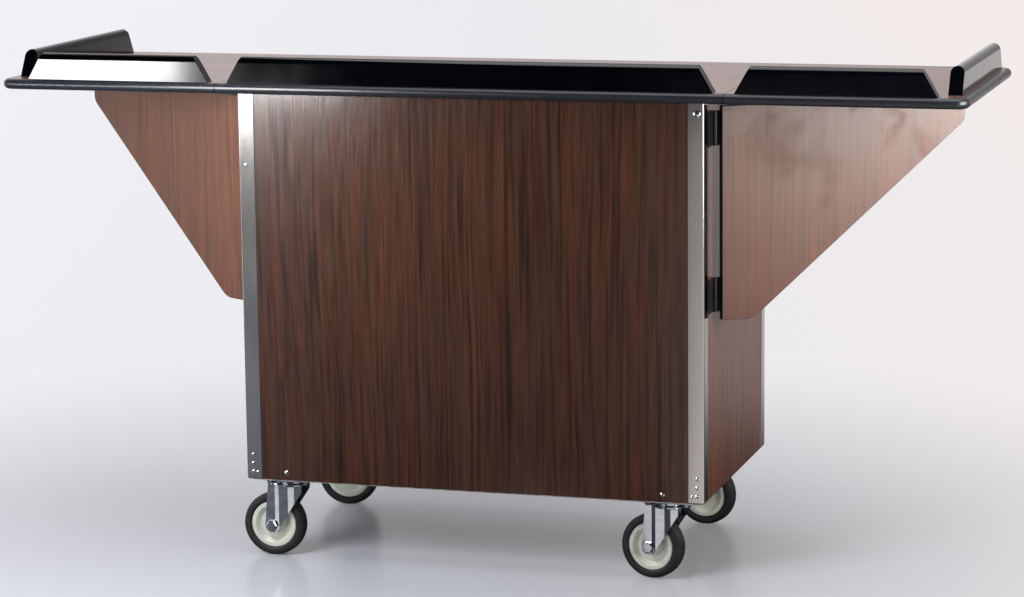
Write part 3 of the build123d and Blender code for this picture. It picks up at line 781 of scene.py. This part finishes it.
def mirrored_glow(ground, x, y, fade):
    """How much of the floor's glow reflections see."""
    dimmed = ground.spread(right_of(ground, x, y, BEHIND_SLANT), BEHIND_EDGE, BEHIND_LEVELS, smooth=True)
    behind = ground.math("MULTIPLY", ground.spread(y, BEHIND_RUN, smooth=True), dimmed)
    behind = ground.math("MULTIPLY", behind, fade)
    lane = ground.spread(right_of(ground, x, y, LANE_SLANT), LANE_EDGE, smooth=True)
    lane = ground.math("MULTIPLY", lane, ground.spread(y, LANE_RUN, LANE_LEVELS))
    for edge in LANE_ENDS:
        lane = ground.math("MULTIPLY", lane, ground.spread(y, edge, smooth=True))
    glow = ground.math("MAXIMUM", behind, lane)
    for start_x, start_y, level in WEDGES:
        run = ground.math("SUBTRACT", y, start_y)
        aside = ground.math("DIVIDE", ground.math("SUBTRACT", x, start_x), run)
        wedge = level
        for edge in WEDGE_SIDES:
            wedge = ground.math("MULTIPLY", ground.spread(aside, edge, smooth=True), wedge)
        for edge in WEDGE_ENDS:
            wedge = ground.math("MULTIPLY", ground.spread(y, edge, smooth=True), wedge)
        glow = ground.math("MAXIMUM", glow, wedge)
    return glow


def floor_material():
    """A pale, slightly glossy floor that runs on into the backdrop."""
    ground = Shader("studio_floor")
    x, y, _ = ground.node("ShaderNodeSeparateXYZ", (), {0: ground.place}).outputs
    ray = ground.node("ShaderNodeLightPath").outputs
    glossy = ray["Is Glossy Ray"]
    direct = ground.math("MAXIMUM", ray["Is Camera Ray"], ray["Is Transmission Ray"])

    cloud = ground.noise(FLOOR_CLOUD_CYCLES, detail=3.0)
    ground.finish({
        "Base Color": ground.mix(cloud, FLOOR_TONE, scaled(FLOOR_TONE, FLOOR_CLOUD_LIFT)),
        "Roughness": FLOOR_ROUGHNESS,
        "Specular IOR Level": FLOOR_SPECULAR,
    })
    darker = ground.spread(right_of(ground, x, y, MIRRORED_SLANT), MIRRORED_EDGE, smooth=True)
    shown = ground.mix(darker, MIRRORED_LEFT, MIRRORED_RIGHT)
    matte = ground.node("ShaderNodeBsdfDiffuse", (), {"Color": shown}).outputs[0]
    dull = ground.math("MULTIPLY", glossy, MIRRORED_SHARE)
    lit = ground.mix_shader(dull, ground.surface.outputs[0], matte)

    sideways = ground.total((x, cos(CAMERA_YAW)), (y, sin(CAMERA_YAW)))
    tint = ground.ramp(ground.spread(sideways, (-BACKDROP_SPAN, BACKDROP_SPAN)), BACKDROP_STOPS)
    tint = ground.mix(glossy, tint, BACKDROP_WARM)
    glow = ground.node("ShaderNodeEmission", (), {"Color": tint, "Strength": 1.0}).outputs[0]

    distance = ground.vector_math("DISTANCE", ground.place, FLOOR_CENTER)["Value"]
    fade = ground.spread(distance, FLOOR_FADE, (FLOOR_LIFT, 1.0), smooth=True)
    mirrored = ground.math("MULTIPLY", glossy, mirrored_glow(ground, x, y, fade))
    seen = ground.math("MAXIMUM", ground.math("MULTIPLY", direct, fade), mirrored)
    ground.put(ground.tree.nodes["Material Output"].inputs["Surface"], ground.mix_shader(seen, lit, glow))
    return ground.material


def make_floor():
    """The floor, a wide disc."""
    mesh = bpy.data.meshes.new("floor")
    bm = bmesh.new()
    bmesh.ops.create_circle(bm, cap_ends=True, segments=FLOOR_SEGMENTS, radius=FLOOR_RADIUS)
    bm.to_mesh(mesh)
    bm.free()
    floor = bpy.data.objects.new("floor", mesh)
    bpy.context.scene.collection.objects.link(floor)
    dress(floor, floor_material())
    return floor


def make_world():
    """Pale behind the cart and dark in front, and the backdrop's tints straight to the camera."""
    world = bpy.data.worlds.new("studio")
    bpy.context.scene.world = world
    world.use_nodes = True
    sky = Graph(world.node_tree)
    sky.tree.nodes.clear()
    way = sky.node("ShaderNodeTexCoord").outputs["Generated"]
    x, y, _ = sky.node("ShaderNodeSeparateXYZ", (), {0: way}).outputs

    pale = tuple((cool + warm) / 2 for cool, warm in zip(BACKDROP_COOL, BACKDROP_WARM))
    back = sky.spread(x, WORLD_ACROSS, (WORLD_BACK, WORLD_BACK_RIGHT), smooth=True)
    strength = sky.spread(y, WORLD_AROUND, (WORLD_FRONT, back), smooth=True)
    light = sky.node("ShaderNodeBackground", (), {"Color": opaque(pale), "Strength": strength}).outputs[0]

    sideways = sky.vector_math("DOT_PRODUCT", way, (cos(CAMERA_YAW), sin(CAMERA_YAW), 0))["Value"]
    far = BACKDROP_SPAN / FLOOR_RADIUS
    tint = sky.ramp(sky.spread(sideways, (-far, far), smooth=True), BACKDROP_STOPS)
    seen = sky.node("ShaderNodeBackground", (), {"Color": tint, "Strength": 1.0}).outputs[0]

    ray = sky.node("ShaderNodeLightPath").outputs
    direct = sky.math("MAXIMUM", ray["Is Camera Ray"], ray["Is Transmission Ray"])
    sky.node("ShaderNodeOutputWorld", (), {"Surface": sky.mix_shader(direct, light, seen)})


# Lamps
WHITE_LAMP = (1.0, 1.0, 1.0)
WARM_LAMP = (1.0, 0.95, 0.91)


def meshes_but(*endings):
    """The meshes of the scene, without those whose names end in these ways."""
    meshes = [item for item in bpy.context.scene.objects if item.type == "MESH"]
    return [mesh for mesh in meshes if not mesh.name.endswith(endings)]


def lit_set(name, meshes):
    """A set of meshes for a lamp that lights no others."""
    lit = bpy.data.collections.new(name)
    for mesh in meshes:
        lit.objects.link(mesh)
    return lit


def softbox(name, place, aim, size, radiance, tint=WHITE_LAMP, lit=None):
    """A rectangular light of a given width, height and brightness, turned to a point."""
    lamp = bpy.data.lights.new(name, "AREA")
    lamp.shape = "RECTANGLE"
    lamp.size, lamp.size_y = size
    lamp.energy = radiance * pi * size[0] * size[1]
    lamp.color = tint
    box = bpy.data.objects.new(name, lamp)
    box.location = place
    box.rotation_euler = (Vector(aim) - Vector(place)).to_track_quat("-Z", "Y").to_euler()
    box.visible_camera = False
    if lit:
        box.light_linking.receiver_collection = lit
    bpy.context.scene.collection.objects.link(box)
    return box


def make_lamps(floor):
    """Soft light from the left, the right and above, and small lamps that the front mirrors."""
    off_floor = lit_set("off_floor", meshes_but("floor"))
    uprights = lit_set("uprights", meshes_but("floor", "_top"))
    off_rails = lit_set("off_rails", meshes_but("floor", "_top", "_rail"))
    floor_only = lit_set("floor_only", [floor])
    # Main light, from the left
    softbox(
        "key_left",
        place=(-2.30, -1.40, 0.95),
        aim=(-0.4, -0.1, 0.7),
        size=(1.0, 0.9),
        radiance=4.0,
        lit=off_floor,
    )
    # Close light on the upper left of the front
    softbox(
        "key_near",
        place=(-0.60, -0.80, 0.99),
        aim=(-0.40, -0.26, 0.66),
        size=(0.3, 0.3),
        radiance=30.0,
        lit=off_rails,
    )
    # Bright card that the left leaf's rail mirrors
    softbox(
        "rail_card",
        place=(-2.100, -3.05, 0.755),
        aim=(-0.5, -0.3, 0.75),
        size=(0.7, 0.45),
        radiance=34.0,
        lit=uprights,
    )
    # Strips that the left front post mirrors
    softbox(
        "low_strip",
        place=(-1.32, -2.49, 0.600),
        aim=(-0.44, -0.26, 0.80),
        size=(0.24, 0.10),
        radiance=2.4,
    )
    softbox(
        "mid_strip",
        place=(-1.32, -2.49, 0.32),
        aim=(-0.44, -0.26, 0.62),
        size=(0.30, 0.40),
        radiance=0.14,
        lit=uprights,
    )
    # Warm light on the right bracket and side
    softbox(
        "right_lamp",
        place=(1.55, -0.45, 1.08),
        aim=(0.75, 0.0, 0.75),
        size=(0.6, 0.6),
        radiance=15.0,
        tint=WARM_LAMP,
        lit=uprights,
    )
    softbox(
        "right_screen",
        place=(2.35, -1.25, 0.90),
        aim=(0.75, 0.0, 0.7),
        size=(1.0, 1.0),
        radiance=9.0,
        tint=WARM_LAMP,
        lit=uprights,
    )
    # Light on the floor alone, which casts the cart's shadow
    wash = softbox(
        "floor_wash",
        place=(-1.2, -2.6, 2.2),
        aim=(0.0, 0.0, 0.0),
        size=(1.5, 1.5),
        radiance=14.5,
        lit=floor_only,
    )
    wash.visible_glossy = False
    # Fill from the left and from above
    softbox(
        "side_left",
        place=(-3.1, -0.45, 0.50),
        aim=(-0.6, 0.0, 0.7),
        size=(1.6, 1.2),
        radiance=0.8,
    )
    softbox(
        "overhead",
        place=(0.4, -0.3, 3.2),
        aim=(0.3, 0.0, 0.9),
        size=(3.0, 2.2),
        radiance=2.7,
    )


floor = make_floor()
make_world()
make_camera()
make_lamps(floor)

bpy.context.scene.view_settings.view_transform = "Standard"
